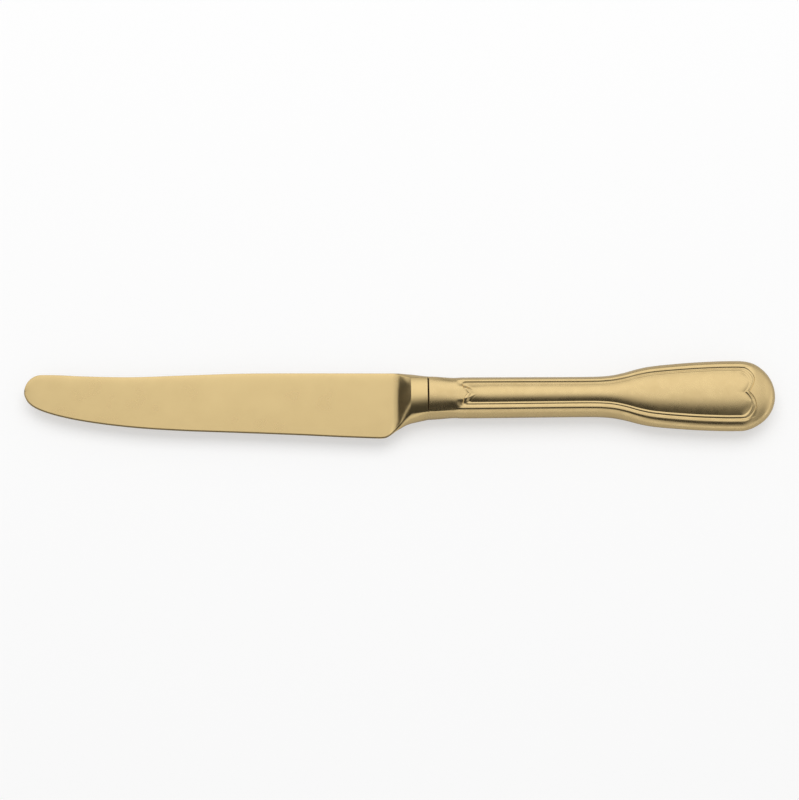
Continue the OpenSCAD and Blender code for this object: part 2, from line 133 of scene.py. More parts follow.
def edge_y(t):
    """The same, with the heel's corner rounded by averaging over a window that is widest there."""
    reach = HEEL_ROUND * np.exp(-((t - HEEL_PLACE) / HEEL_ROUND / 2) ** 2)
    steps = np.linspace(-1, 1, HEEL_ROUND_STEPS).reshape(-1, *[1] * np.ndim(t))
    return sharp_edge_y(np.clip(t + reach * steps, 0, BOLSTER_FRONT)).mean(0)


def distance_to(points, line):
    """Shortest distance of each point from a line of short straight stretches."""
    start, run = line[:-1], np.diff(line, axis=0)
    offset = points[..., None, :] - start
    share = np.clip((offset * run).sum(-1) / (run * run).sum(-1), 0, 1)
    return np.linalg.norm(offset - share[..., None] * run, axis=-1).min(-1)


CORNER_ROUND = 0.3


def section_height(out, full, low, high, bend):
    """Height of a crowned section at a distance out from its middle: a dome that falls as a power
    of that distance, and past its corner a side wall that bulges as a parabola. Near the corner the
    two are blended."""
    corner = full - WALL_BULGE
    dome = high - (high - low) * (out / corner) ** bend
    side = low * np.sqrt(np.clip((full - out) / WALL_BULGE, 0, None))
    return mix(side, dome, ease((corner - out) / CORNER_ROUND / 2 + 0.5))


# Across the forging, from the spine over the front to the edge
STEPS_ACROSS = 72
across = np.linspace(0, 1, STEPS_ACROSS + 1)
BLADE_SHARES = [0, 0.012, 0.04, 0.16, 0.32, 0.48, 0.62, 0.74, 0.84, 0.91, 0.96, 0.99, 1]
blade_share = smooth_value(list(zip(np.linspace(0, 1, len(BLADE_SHARES)), BLADE_SHARES)), across)
DOME_STEP_SHARE = 2 / 3
DOME_SHARES = [(0, 0), (0.25, 0.26), (0.5, 0.52), (0.75, 0.78), (1, 1)]


def places_across(full):
    """Places across a crowned section. They crowd along the side walls, where the distance in from
    the outline goes as the square of the step."""
    outward = np.abs(across - 0.5) * 2
    wall_step = np.clip((1 - outward) / (1 - DOME_STEP_SHARE), 0, 1)
    dome_step = np.clip(outward / DOME_STEP_SHARE, 0, 1)
    dome = (full - WALL_BULGE) * smooth_value(DOME_SHARES, dome_step)
    out = np.where(outward > DOME_STEP_SHARE, full - WALL_BULGE * wall_step ** 2, dome)
    return out * np.sign(0.5 - across)


seam_y = places_across(SEAM_HALF_WIDTH)
seam_z = section_height(np.abs(seam_y), SEAM_HALF_WIDTH, SEAM_WALL, SEAM_CROWN, SEAM_DOME_POWER)


def bolster_y(flared):
    """Places across the bolster: the seam's, with the dome and more so the side walls stretched by
    a share of the flare, and all of it dropped towards the cutting edge."""
    corner = SEAM_HALF_WIDTH - WALL_BULGE
    on_dome = np.minimum(np.abs(seam_y), corner) * (1 + BOLSTER_CORNER_FLARE / corner * flared)
    on_wall = np.clip(np.abs(seam_y) - corner, 0, None)
    stretched = on_wall * (1 + (BOLSTER_FLARE - BOLSTER_CORNER_FLARE) / WALL_BULGE * flared)
    return np.sign(seam_y) * (on_dome + stretched) - BOLSTER_DROP * flared


SPINE_EDGE_ROUND = 0.1
SPINE_ROLL = 0.2
SPINE_ROLL_REACH = 0.7
BEVEL_WIDTH = 0.42
BEVEL_REST = 0.55
RAMP_FOOT_SHIFT = 0.15
RAMP_FOOT_SHARE = 0.45
RAMP_SLANT = 0.3
RAMP_REACH = 1.7
HEEL_REACH_POWER = 16
SPINE_RAMP_POWER = 2.4
HEEL_RAMP_POWER = 2.2
SEAM_GROOVE_DEPTH = 0.45
SEAM_GROOVE_FADE = 0.6
SEAM_GROOVE_REACH = 0.26


def full_ring(place, y, z):
    """Closed rings from half rings over the front: the back repeats them below the mid-plane."""
    place = np.broadcast_to(place, y.shape)
    front = np.stack([place, y, z], -1)
    return np.concatenate([front, (front * (1, 1, -1))[:, -2:0:-1]], 1)


def seam_groove(distance, y):
    """Share of its height that the crown keeps near the seam: a groove that deepens in proportion
    to the nearness of the seam, and eases out towards the crown's corners."""
    on_crown = ease((SEAM_HALF_WIDTH - WALL_BULGE - np.abs(y)) / SEAM_GROOVE_FADE)
    nearness = np.clip(1 - distance / SEAM_GROOVE_REACH, 0, 1)
    return 1 - SEAM_GROOVE_DEPTH / SEAM_CROWN * on_crown * nearness


BLADE_STEPS, HEEL_STEPS = 200, 70
OUTLINE_BLADE_STEPS, OUTLINE_HEEL_STEPS = 120, 40


def places_along(blade_steps, heel_steps):
    """Places from the tip to the bolster. They crowd at the tip, where they go as the square of the
    step, and are even from the heel on."""
    along_blade = np.linspace(0, 1, blade_steps) ** 2 * HEEL_PLACE
    return np.concatenate([along_blade, np.linspace(HEEL_PLACE, BOLSTER_FRONT, heel_steps)[1:]])


t = places_along(BLADE_STEPS, HEEL_STEPS)[:, None]
outline_t = places_along(OUTLINE_BLADE_STEPS, OUTLINE_HEEL_STEPS)
spine_line = np.stack([outline_t, spine_y(outline_t)], -1)
edge_line = np.stack([outline_t, edge_y(outline_t)], -1)
# The ramp: every point of the blade's section climbs to its place on the bolster's front
foot = BLADE_LENGTH + RAMP_SLANT * blade_share
foot = foot - (RAMP_SLANT + RAMP_REACH) * blade_share ** HEEL_REACH_POWER
climb = np.clip((t - foot) / (BOLSTER_FRONT - foot), 0, 1)
climb = climb ** mix(SPINE_RAMP_POWER, HEEL_RAMP_POWER, blade_share)
# Its face is hollowed as a parabola at the foot, and then it is a straight slope up to the bolster
face_foot = foot + RAMP_FOOT_SHIFT
up_ramp = np.clip((t - face_foot) / (BOLSTER_FRONT - face_foot), 0, 1)
hollow = np.minimum(up_ramp, RAMP_FOOT_SHARE) ** 2 / 2 / RAMP_FOOT_SHARE
rise = (hollow + np.clip(up_ramp - RAMP_FOOT_SHARE, 0, None)) / (1 - RAMP_FOOT_SHARE / 2)
front_share = (BOLSTER_TOP - bolster_y(1)) / (BOLSTER_TOP - BOLSTER_BOTTOM)
blade_y = mix(spine_y(t), edge_y(t), mix(blade_share, front_share, climb))
# The blade's thickness falls from spine to edge. The spine is rolled and rounded, the edge bevelled
blade_points = np.stack([np.broadcast_to(t, blade_y.shape), blade_y], -1)
from_spine = distance_to(blade_points, spine_line)
from_edge = distance_to(blade_points, edge_line)
rounding = np.sqrt(1 - np.clip(1 - from_spine / SPINE_EDGE_ROUND, 0, 1) ** 2)
bevel = mix(BEVEL_REST, 1, np.clip(from_edge / BEVEL_WIDTH, 0, 1))
spine_there = mix(TIP_THICKNESS, SPINE_THICKNESS, np.clip(t / BLADE_LENGTH, 0, 1))
blade_z = mix(spine_there, EDGE_THICKNESS, blade_share) / 2
blade_z = blade_z - SPINE_ROLL * np.exp(-from_spine / SPINE_ROLL_REACH)
blade_rings = full_ring(t, blade_y, mix(blade_z * np.minimum(rounding, bevel), seam_z, rise))

# The bolster, with finer steps at the seam's groove
BOLSTER_STEPS = 30
GROOVE_FROM = 0.94
GROOVE_STEPS = 8
bolster_step = np.unique(np.concatenate([
    np.linspace(0, 1, BOLSTER_STEPS)[1:], np.linspace(GROOVE_FROM, 1, GROOVE_STEPS),
]))[:, None]
kept = seam_groove((1 - bolster_step) * BOLSTER_LENGTH, seam_y)
bolster_rings = full_ring(BOLSTER_FRONT + BOLSTER_LENGTH * bolster_step,
                          bolster_y(1 - bolster_step), seam_z * kept)

# The spigot and the tang, hidden in the handle: rounded bars, each tapered from end to end
SPIGOT_LENGTH = 9
SPIGOT_HALF_WIDTHS = 5.6, 5.2
SPIGOT_HALF_THICKNESSES = 3.2, 3.0
TANG_LENGTH = 60
TANG_HALF_WIDTHS = 3.5, 2.5
TANG_HALF_THICKNESSES = 1.5, 1
BAR_POWER = 8


def bar(places, half_widths, half_thicknesses):
    """Rounded bar: across it the thickness follows a superellipse."""
    share = np.sin((0.5 - across) * math.pi)
    places, half_widths, half_thicknesses = (np.array(v, float)[:, None] for v in
                                             (places, half_widths, half_thicknesses))
    height = np.clip(1 - np.abs(share) ** BAR_POWER, 0, 1) ** (1 / BAR_POWER)
    return full_ring(places, half_widths * share, half_thicknesses * height)


spigot_end = FORGED_LENGTH + SPIGOT_LENGTH
tang_rings = bar(
    [FORGED_LENGTH, spigot_end, spigot_end, spigot_end + TANG_LENGTH],
    SPIGOT_HALF_WIDTHS + TANG_HALF_WIDTHS,
    SPIGOT_HALF_THICKNESSES + TANG_HALF_THICKNESSES,
)


SHARP_ANGLE = 50


def skin(name, rings, turned=False):
    """Mesh piece over closed rings of equal count. Quads join each ring to the next, and the first
    and last rings are closed by quads across their line of symmetry."""
    count = rings.shape[1]
    i = np.arange(count)
    j = (i + 1) % count
    start = np.arange(len(rings) - 1)[:, None] * count
    after = start + count
    bands = np.stack([start + i, start + j, after + j, after + i], -1).reshape(-1, 4)
    k = np.arange(1, count // 2 - 1)
    cap = np.stack([k, k + 1, count - k - 1, count - k], -1)
    ends = [[0, 1, count - 1], [count // 2 - 1, count // 2, count // 2 + 1]]
    last = (len(rings) - 1) * count
    faces = bands.tolist() + cap[:, ::-1].tolist() + [end[::-1] for end in ends]
    faces += (cap + last).tolist() + [[p + last for p in end] for end in ends]
    if turned:
        faces = [face[::-1] for face in faces]
    mesh = bpy.data.meshes.new(name)
    mesh.from_pydata((rings.reshape(-1, 3) * MM).tolist(), [], faces)
    mesh.polygons.foreach_set("use_smooth", np.ones(len(mesh.polygons), bool))
    mesh.set_sharp_from_angle(angle=math.radians(SHARP_ANGLE))
    mesh.update()
    piece = bpy.data.objects.new(name, mesh)
    bpy.context.scene.collection.objects.link(piece)
    return piece


def colour(hex_code):
    """Linear colour of an sRGB hex code."""
    shares = np.array([int(hex_code[i:i + 2], 16) / 255 for i in (1, 3, 5)])
    linear = np.where(shares <= 0.04045, shares / 12.92, ((shares + 0.055) / 1.055) ** 2.4)
    return (*linear.tolist(), 1.0)


def add_node(material, kind, inputs=(), **settings):
    """Adds one node, sets its properties, and sets or links its inputs, given by name or number."""
    node = material.node_tree.nodes.new(kind)
    for name, value in settings.items():
        setattr(node, name, value)
    for socket, value in dict(inputs).items():
        if isinstance(value, bpy.types.NodeSocket):
            material.node_tree.links.new(value, node.inputs[socket])
        else:
            node.inputs[socket].default_value = value
    return node


# Noise runs from about 0.3 to 0.7
NOISE_LOW, NOISE_HIGH = 0.3, 0.7
GRAIN_STRETCH = 0.3
GRAIN_DEPTH_SHARE = 1.0


def coated_steel(name, light, deep, cloud_mm, smooth, rough, grain_mm, grain_depth_mm):
    """Champagne-gold coating on stainless steel. Clouds of two near golds and of roughness are a
    few millimetres across, and the satin grain is a fine bump, longer across the knife than along
    it, drawn several times as coarse as the real one so that it shows."""
    material = bpy.data.materials.new(name)
    material.use_nodes = True
    shader = material.node_tree.nodes["Principled BSDF"]
    place = add_node(material, "ShaderNodeTexCoord").outputs["Object"]
    clouds = add_node(material, "ShaderNodeTexNoise",
                      {"Vector": place, "Scale": 1 / (cloud_mm * MM),
                       "Detail": 4.0, "Roughness": 0.6})
    tint = add_node(material, "ShaderNodeMix",
                    {"Factor": clouds.outputs["Fac"], "A": colour(light), "B": colour(deep)},
                    data_type="RGBA")
    gloss = add_node(material, "ShaderNodeMapRange",
                     {"Value": clouds.outputs["Fac"], "From Min": NOISE_LOW, "From Max": NOISE_HIGH,
                      "To Min": smooth, "To Max": rough})
    stretched = add_node(material, "ShaderNodeMapping",
                         {"Vector": place, "Scale": (1, GRAIN_STRETCH, GRAIN_STRETCH)})
    grain = add_node(material, "ShaderNodeTexNoise",
                     {"Vector": stretched.outputs["Vector"], "Scale": 1 / (grain_mm * MM),
                      "Detail": 3.0, "Roughness": 0.6})
    relief = add_node(material, "ShaderNodeBump",
                      {"Height": grain.outputs["Fac"], "Strength": GRAIN_DEPTH_SHARE,
                       "Distance": grain_depth_mm * MM})
    links = material.node_tree.links
    links.new(tint.outputs["Result"], shader.inputs["Base Color"])
    links.new(gloss.outputs["Result"], shader.inputs["Roughness"])
    links.new(relief.outputs["Normal"], shader.inputs["Normal"])
    shader.inputs["Metallic"].default_value = 1.0
    return material


# Size of the clouds in the seam's painted shade
PAINTED_SHADE_CLOUD = 1.5


def painted_shade(name):
    """Painted shade for the fine seam: dark brown that stands in for the shadow in the gap between
    the bolster and the handle, rough and cloudy.
    """
    material = bpy.data.materials.new(name)
    material.use_nodes = True
    shader = material.node_tree.nodes["Principled BSDF"]
    place = add_node(material, "ShaderNodeTexCoord").outputs["Object"]
    clouds = add_node(material, "ShaderNodeTexNoise",
                      {"Vector": place, "Scale": 1 / (PAINTED_SHADE_CLOUD * MM), "Detail": 3.0})
    tint = add_node(material, "ShaderNodeMix",
                    {"Factor": clouds.outputs["Fac"],
                     "A": colour("#4a391f"), "B": colour("#382b18")},
                    data_type="RGBA")
    material.node_tree.links.new(tint.outputs["Result"], shader.inputs["Base Color"])
    shader.inputs["Metallic"].default_value = 0.6
    shader.inputs["Roughness"].default_value = 0.6
    return material


def line_with(piece, material, low, high):
    """Gives the crown's faces between two places along X, in millimetres, their own material."""
    middle = np.empty(len(piece.data.polygons) * 3)
    piece.data.polygons.foreach_get("center", middle)
    middle = middle.reshape(-1, 3) / MM
    between = (middle[:, 0] > low) & (middle[:, 0] < high)
    on_crown = np.abs(middle[:, 1] - AXIS_Y) < SEAM_HALF_WIDTH - WALL_BULGE
    piece.data.materials.append(material)
    piece.data.polygons.foreach_set("material_index", (between & on_crown).astype(int))


# Fine satin: an even, soft sheen, with hardly any grain to see
satin_blade_gold = coated_steel(
    "gold-coated steel, fine satin", "#e3c992", "#ddc28b", cloud_mm=9.0, smooth=0.24, rough=0.28,
    grain_mm=0.4, grain_depth_mm=0.0004,
)

in_frame = np.array([TIP_X, AXIS_Y, MID_Z])
forging = skin("forging", np.concatenate([blade_rings, bolster_rings, tang_rings]) + in_frame)
forging.data.materials.append(satin_blade_gold)
# The crown's faces along the seam's groove get painted shade: dark brown for the shadow in the gap
# at the seam
seam_painted_shade = painted_shade("painted shade in the seam")
line_with(forging, seam_painted_shade, SEAM_X - SEAM_GROOVE_REACH, SEAM_X + SEAM_GROOVE_REACH)
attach(forging, "root")
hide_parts("blade")

# The handle's two half shells, stamped from sheet steel: a fiddle outline with a round end, a
# bulging side wall, and a crowned face with a border of a raised rim and a thread between grooves,
# closed at both ends in two lobes with a cusp. They are brazed edge to edge, tumbled and coated.

NECK_HALF_WIDTH = 6.6
STEM_HALF_WIDTH = 6.72
STEM_TAPER = 0.12
BUTT_HALF_WIDTH = 11.8
NECK_LENGTH = 8.5
STEM_LENGTH = 50
STEM_CROWN = 4.15
BUTT_CROWN = 3.8
CROWN_FALL = 20
STEM_WALL = 3.0
BUTT_WALL = 2.1
STEM_RIM_SLOPE = 0.92
BUTT_RIM_SLOPE = 1.25
# Insets from the rim's crest, and depths, at the stem and at the butt
BANK_INSET = 0.28, 0.28
OUTER_GROOVE_INSET = 1.02, 0.78
THREAD_INSET = 1.34, 1.28
INNER_GROOVE_INSET = 1.83, 1.83
STEM_RIM_HEIGHT = 3.65
BUTT_RIM_HEIGHT = 2.62
OUTER_GROOVE_DEPTH = 0.14, 0.16
THREAD_DROP = 0.02, -0.05
INNER_GROOVE_DROP = 0.06, 0.0
CLOSURE_DEPTH = 0.12, 0.22
NECK_CLOSURE_START = 11.1
BUTT_CLOSURE_START = 7.1
CLOSURE_PITCH = 0.9
NECK_CUSP_DEPTH = 1.4
BUTT_CUSP_DEPTH = 1.9
NECK_CORNER_LENGTH = 1.2
BUTT_CORNER_LENGTH = 3.3
END_CENTRE = HANDLE_LENGTH - BUTT_HALF_WIDTH
RIM_START = NECK_LENGTH + 2 * NECK_CORNER_LENGTH
HANDLE_DOME_POWER = 4
FLARE_SHARES = [
    (0, 0), (0.1, 0.02), (0.18, 0.092), (0.26, 0.257), (0.34, 0.478), (0.41, 0.632), (0.49, 0.735),
    (0.57, 0.81), (0.73, 0.927), (0.9, 0.995), (1, 1),
]


def flare(s):
    """Share of the way from the stem's width to the butt's, at a distance from the seam."""
    return smooth_value(FLARE_SHARES, np.clip((s - STEM_LENGTH) / (END_CENTRE - STEM_LENGTH), 0, 1))


def half_width(s):
    """Half width of the handle, eased from the seam to the neck, to the stem and on to the butt."""
    neck = mix(SEAM_HALF_WIDTH, NECK_HALF_WIDTH, ease(s / NECK_LENGTH))
    rim = mix(NECK_HALF_WIDTH, STEM_HALF_WIDTH, ease((s - NECK_LENGTH) / (RIM_START - NECK_LENGTH)))
    stem = STEM_HALF_WIDTH - STEM_TAPER * ease((s - RIM_START) / (STEM_LENGTH - RIM_START))
    fiddle = mix(STEM_HALF_WIDTH - STEM_TAPER, BUTT_HALF_WIDTH, flare(s))
    return np.select([s < NECK_LENGTH, s < RIM_START, s < STEM_LENGTH], [neck, rim, stem], fiddle)


def crown(s):
    """Height of the crown: it eases down from the seam to the stem, then goes with the flare."""
    return mix(SEAM_CROWN, mix(STEM_CROWN, BUTT_CROWN, flare(s)), ease(s / CROWN_FALL))


def wall(s):
    """Height of the side wall, eased from the seam to the rim's start, and with the flare after."""
    return np.where(s < RIM_START, mix(SEAM_WALL, STEM_WALL, ease(s / RIM_START)),
                    mix(STEM_WALL, BUTT_WALL, flare(s)))


def rim_slope(s):
    """Width of the rim's outer slope, from the wall's corner to its crest, with the flare."""
    return mix(STEM_RIM_SLOPE, BUTT_RIM_SLOPE, flare(s))


def plain_height(s, y):
    """Height of the shell without its border: the crowned section, turned round the butt's end."""
    full = half_width(np.minimum(s, END_CENTRE))
    out = np.where(s < END_CENTRE, np.abs(y), np.hypot(s - END_CENTRE, y))
    bend = mix(SEAM_DOME_POWER, HANDLE_DOME_POWER, ease(s / CROWN_FALL))
    return section_height(out, full, wall(s), crown(s), bend)


# Half rings run from the axis at the seam round to the axis at the butt, as places s and y
SEAM_STEPS = 22
WALL_STEPS = 22
NECK_STEPS = 26
SIDE_STEPS = 170
BUTT_CORNER_STEPS = 30
BUTT_CUSP_STEPS = 22
NECK_SIDE_LENGTH = RIM_START + NECK_CORNER_LENGTH
SEAM_SETBACK = 0.48
SEAM_WALL_REACH = 1.2
CROWDING = 0.4


def open_half(bulge, slope, inset=0.0):
    """Half ring at a share of the wall's bulge and of the rim's slope in from the outline. It
    crosses the handle just behind the seam, runs along the side and rounds the end on a circle."""
    setback = SEAM_SETBACK * (bulge + slope) / 2
    own = inset + WALL_BULGE * bulge ** 2

    def side(s, extra=0.0):
        return half_width(s) - own - extra - rim_slope(s) * slope

    first = SEAM_WALL_REACH + WALL_BULGE * (1 - bulge ** 2)
    v = np.arange(SEAM_STEPS) / SEAM_STEPS
    seam = side(np.array(setback), first) * v
    v = np.arange(WALL_STEPS) / (WALL_STEPS - 1)
    corner = side(np.array(setback)) - first * (1 - v) ** 2
    v = (np.arange(NECK_STEPS) + 1) / NECK_STEPS
    neck = mix(setback, NECK_SIDE_LENGTH, v ** (1 / (1 + (bulge + slope) * 2 * CROWDING)))
    stem = mix(NECK_SIDE_LENGTH, END_CENTRE, (np.arange(SIDE_STEPS) + 1) / SIDE_STEPS)
    radius = side(np.array(END_CENTRE))
    steps = BUTT_CORNER_STEPS + BUTT_CUSP_STEPS
    angle = (1 - (np.arange(steps) + 1) / steps) * math.pi / 2
    at_seam = np.full(SEAM_STEPS + WALL_STEPS, setback)
    s = np.concatenate([at_seam, neck, stem, END_CENTRE + radius * np.cos(angle)])
    y = np.concatenate([seam, corner, side(neck), side(stem), radius * np.sin(angle)])
    return s, y


SMALLEST_SIDE_SQUARED = 0.01


def line_side(s, inset):
    """Half width of a border line inset from the rim's crest: a circle past the end's centre."""
    past = np.clip(s - END_CENTRE, 0, None)
    before = np.minimum(s, END_CENTRE)
    own = half_width(before) - WALL_BULGE - rim_slope(before) - mix(*inset, flare(before))
    return np.sqrt(np.clip(own ** 2 - past ** 2, SMALLEST_SIDE_SQUARED, None))


NECK_LOBE_SHARE = 0.8
BUTT_LOBE_SHARE = 0.5
CUSP_POWER = 1.9
NECK_PITCH_SHARE = 1.0
BUTT_PITCH_SHARE = 0.8
NECK_CUSP_LOSS_SHARE = 0.22


def closed_half(inset, line):
    """Half ring along a groove or the thread: a cusp on the axis, a lobe and a rounded corner at
    the neck, the side, and a corner, a lobe and a cusp at the butt. Lines count inwards."""
    neck_lobe = NECK_CLOSURE_START + CLOSURE_PITCH * NECK_PITCH_SHARE * line
    butt_lobe = HANDLE_LENGTH - BUTT_CLOSURE_START - CLOSURE_PITCH * BUTT_PITCH_SHARE * line
    neck_cusp = NECK_CUSP_DEPTH * (1 - NECK_CUSP_LOSS_SHARE * line)
    neck_y = line_side(np.array(neck_lobe + NECK_CORNER_LENGTH), inset)
    butt_y = line_side(np.array(butt_lobe - BUTT_CORNER_LENGTH), inset) * BUTT_LOBE_SHARE
    v = np.arange(SEAM_STEPS) / SEAM_STEPS
    cusp = neck_lobe + neck_cusp * (1 - v) ** CUSP_POWER, neck_y * NECK_LOBE_SHARE * v
    steps = WALL_STEPS + NECK_STEPS
    angle = np.arange(steps) / steps * math.pi / 2
    corner = (neck_lobe + NECK_CORNER_LENGTH * (1 - np.cos(angle)),
              neck_y * mix(NECK_LOBE_SHARE, 1, np.sin(angle)))
    v = (np.arange(SIDE_STEPS) + 1) / SIDE_STEPS
    place = mix(neck_lobe + NECK_CORNER_LENGTH, END_CENTRE, v)
    stem = place, line_side(place, inset)
    angle = (1 - (np.arange(BUTT_CORNER_STEPS) + 1) / BUTT_CORNER_STEPS) * math.pi / 2
    place = butt_lobe - BUTT_CORNER_LENGTH * (1 - np.cos(angle))
    butt = place, mix(butt_y, line_side(place, inset), np.sin(angle))
    v = 1 - (np.arange(BUTT_CUSP_STEPS) + 1) / BUTT_CUSP_STEPS
    end = butt_lobe - BUTT_CUSP_DEPTH * (1 - v) ** CUSP_POWER, butt_y * v
    return tuple(np.concatenate(parts) for parts in zip(cusp, corner, stem, butt, end))


FADE_END_SHARE = 0.45
FADE_START_SHARE = 0.95


def border_share(s, y, inset):
    """How fully the border's relief stands: full along the sides, fading over the crown, into the
    plain neck and into the plain round end."""
    outward = np.abs(y) / line_side(s, inset)
    over_crown = ease((outward - FADE_END_SHARE) / (FADE_START_SHARE - FADE_END_SHARE))
    at_neck = ease((s - NECK_LENGTH) / (RIM_START - NECK_LENGTH))
    before_end = HANDLE_LENGTH - BUTT_CLOSURE_START + CLOSURE_PITCH - s
    return over_crown * at_neck * ease(before_end / (BUTT_HALF_WIDTH - BUTT_CLOSURE_START))


def rim_height(s):
    """Height of the rim's crest along the sides. It goes with the flare."""
    return mix(STEM_RIM_HEIGHT, BUTT_RIM_HEIGHT, flare(s))


def bordered_height(s, y, inset, side_drop, closure_drop):
    """Height of the shell on the border: along the sides it is measured down from the rim's crest,
    and over the crown it is a shallow groove in the plain shell."""
    along_side = rim_height(s) - mix(*side_drop, flare(s))
    over_crown = plain_height(s, y) - mix(*closure_drop, flare(s))
    return mix(over_crown, along_side, border_share(s, y, inset))


BANK_SHARE = 0.4
BANK_POWER = 2.5


def steep_then_flat(share):
    """Falls fast from the crest's bank and levels out: one less a power of what is left."""
    return 1 - (1 - share) ** BANK_POWER


# The lines of the border: crest, bank, outer groove, thread and inner groove. Each has its half
# ring, its inset, its drops at the sides and over the crown, its count of rings and their rule
NONE = 0, 0
border_lines = [
    (open_half(1, 1), NONE, NONE, NONE, 1, ease),
    (closed_half(BANK_INSET, -BANK_SHARE), BANK_INSET, NONE, NONE, 26, ease),
    (closed_half(OUTER_GROOVE_INSET, 0), OUTER_GROOVE_INSET, OUTER_GROOVE_DEPTH, CLOSURE_DEPTH,
     10, steep_then_flat),
    (closed_half(THREAD_INSET, 1), THREAD_INSET, THREAD_DROP, NONE, 7, ease),
    (closed_half(INNER_GROOVE_INSET, 2), INNER_GROOVE_INSET, INNER_GROOVE_DROP, CLOSURE_DEPTH,
     7, ease),
]


SHELL_THICKNESS = 0.8
GROOVE_ALLOWANCE = 0.15
CAVITY_WALL_SHARE = 0.6
STEM_CAVITY_POWER = 2
BUTT_CAVITY_POWER = 4


def cavity_height(s, y):
    """Height of the hollow under the sheet: a plain dome below the grooves."""
    inset = SHELL_THICKNESS
    full = half_width(np.minimum(s, END_CENTRE))
    out = np.where(s < END_CENTRE, np.abs(y), np.hypot(s - END_CENTRE, y))
    low = wall(s) - (inset + GROOVE_ALLOWANCE) * CAVITY_WALL_SHARE
    high = crown(s) - inset - GROOVE_ALLOWANCE
    bend = mix(STEM_CAVITY_POWER, BUTT_CAVITY_POWER, flare(s))
    return section_height(out, full - inset, low, high, bend)


RIM_POWER = 2.2
PANEL_END_REACH = 14
STEM_PANEL_POWER = 2.0
BUTT_PANEL_POWER = 2.5
PANEL_EDGE_POWER = 10
WALL_RINGS = 12
RIM_RINGS = 9
PANEL_RINGS = 28
PANEL_CROWDING = 1.3
PANEL_REACH = 0.97
CAVITY_RINGS = 6
CAVITY_SHARES = 0.92, 0.84, 0.72, 0.6, 0.45, 0.3, 0.15


def butt_panel(s, y):
    """Height of the butt's panel: a dome falling as a power of the distance from the axis."""
    out = np.clip(np.abs(y) / line_side(s, INNER_GROOVE_INSET), 0, 1)
    return mix(crown(s), rim_height(s) - mix(*INNER_GROOVE_DROP, flare(s)), out ** BUTT_PANEL_POWER)


def shell_rings():
    """Half rings s, y and z over the whole shell, from the panel's middle out to the outline and
    back under the sheet's thickness over the cavity."""
    rings = []
    # the wall, and the rim's slope as a power of what is left to the crest
    for q in np.linspace(0, 1, WALL_RINGS):
        s, y = open_half(q, 0)
        rings.append((s, y, plain_height(s, y)))
    corner_z = rings[-1][2]
    s1, y1 = border_lines[0][0]
    crest_z = bordered_height(s1, y1, NONE, NONE, NONE)
    full = border_share(s1, y1, NONE)
    for w in np.linspace(0, 1, RIM_RINGS)[1:]:
        s, y = open_half(1, w)
        raised = mix(corner_z, crest_z, 1 - (1 - w) ** RIM_POWER)
        rings.append((s, y, mix(plain_height(s, y), raised, full)))
    # the border, from line to line
    for before, after in zip(border_lines, border_lines[1:]):
        (s0, y0), *start, _, _ = before
        (s1, y1), *end, steps, rule = after
        for w in np.arange(1, steps + 1) / steps:
            s, y = mix(s0, s1, w), mix(y0, y1, w)
            inset, side_drop, closure_drop = (mix(np.array(a), np.array(b), v)
                                              for a, b, v in zip(start, end, (w, rule(w), rule(w))))
            rings.append((s, y, bordered_height(s, y, inset, side_drop, closure_drop)))
    # the panel rises from the inner groove as a pillow, rounder on the stem than at the butt
    (s1, y1), *groove, _, _ = border_lines[-1]
    groove_z = bordered_height(s1, y1, *groove)
    drop = plain_height(s1, y1) - groove_z
    near_end = np.clip(s1 - s1[-1] + PANEL_END_REACH, 0, None)
    middle = np.maximum(s1 - near_end ** 2 / 2 / PANEL_END_REACH, s1[0] + INNER_GROOVE_INSET[0])
    for share in 1 - np.linspace(0, 1, PANEL_RINGS)[1:] ** PANEL_CROWDING * PANEL_REACH:
        s, y = mix(middle, s1, share), y1 * share
        round_bar = plain_height(s, y) - drop * share ** STEM_PANEL_POWER
        pillow = butt_panel(s, y) - (butt_panel(s1, y1) - groove_z) * share ** PANEL_EDGE_POWER
        rings.append((s, y, mix(round_bar, pillow, flare(s))))
    rings = rings[::-1]
    # the cavity
    for q in np.linspace(0, 1, CAVITY_RINGS):
        s, y = open_half(q, 0, SHELL_THICKNESS)
        rings.append((s, y, cavity_height(s, y)))
    s1, y1 = s, y
    for share in CAVITY_SHARES:
        s, y = mix(np.clip(s1, NECK_LENGTH, END_CENTRE), s1, share), y1 * share
        rings.append((s, y, cavity_height(s, y)))
    return np.array(rings).transpose(0, 2, 1)


# The end leans a little towards the spine, but no point stands past the butt's half width
END_LEAN = 0.45
END_LEAN_REACH = 7.0
halves = shell_rings()
halves[..., 2:] *= seam_groove(halves[..., :1], halves[..., 1:2])
half_shell = np.concatenate([halves, (halves * (1, -1, 1))[:, -2:0:-1]], 1)
half_shell[..., 1] += END_LEAN * ease((half_shell[..., 0] - END_CENTRE) / END_LEAN_REACH)
half_shell[..., 1] = np.minimum(half_shell[..., 1], BUTT_HALF_WIDTH)

# Tumbled satin: a little rougher and more clouded than the blade, with a fine even grain
satin_handle_gold = coated_steel(
    "gold-coated steel, tumbled satin", "#e3c994", "#d9be88", cloud_mm=3.5, smooth=0.24, rough=0.32,
    grain_mm=0.35, grain_depth_mm=0.001,
)

in_frame = np.array([SEAM_X, AXIS_Y, MID_Z])
front = "front_shell", "handle_front_shell", 1
back = "back_shell", "handle_back_shell", -1
for name, node, side in (front, back):
    shell = skin(name, half_shell * (1, 1, side) + in_frame, turned=side < 0)
    shell.data.materials.append(satin_handle_gold)
    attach(shell, "root")
    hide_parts(node)

# The handle's filling: cement that is poured round the tang and sets hard. It is sealed inside the
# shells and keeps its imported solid, in the matte warm grey of a set mineral cement.

CEMENT_GRIT = 0.8
CEMENT_GRIT_DEPTH = 0.05

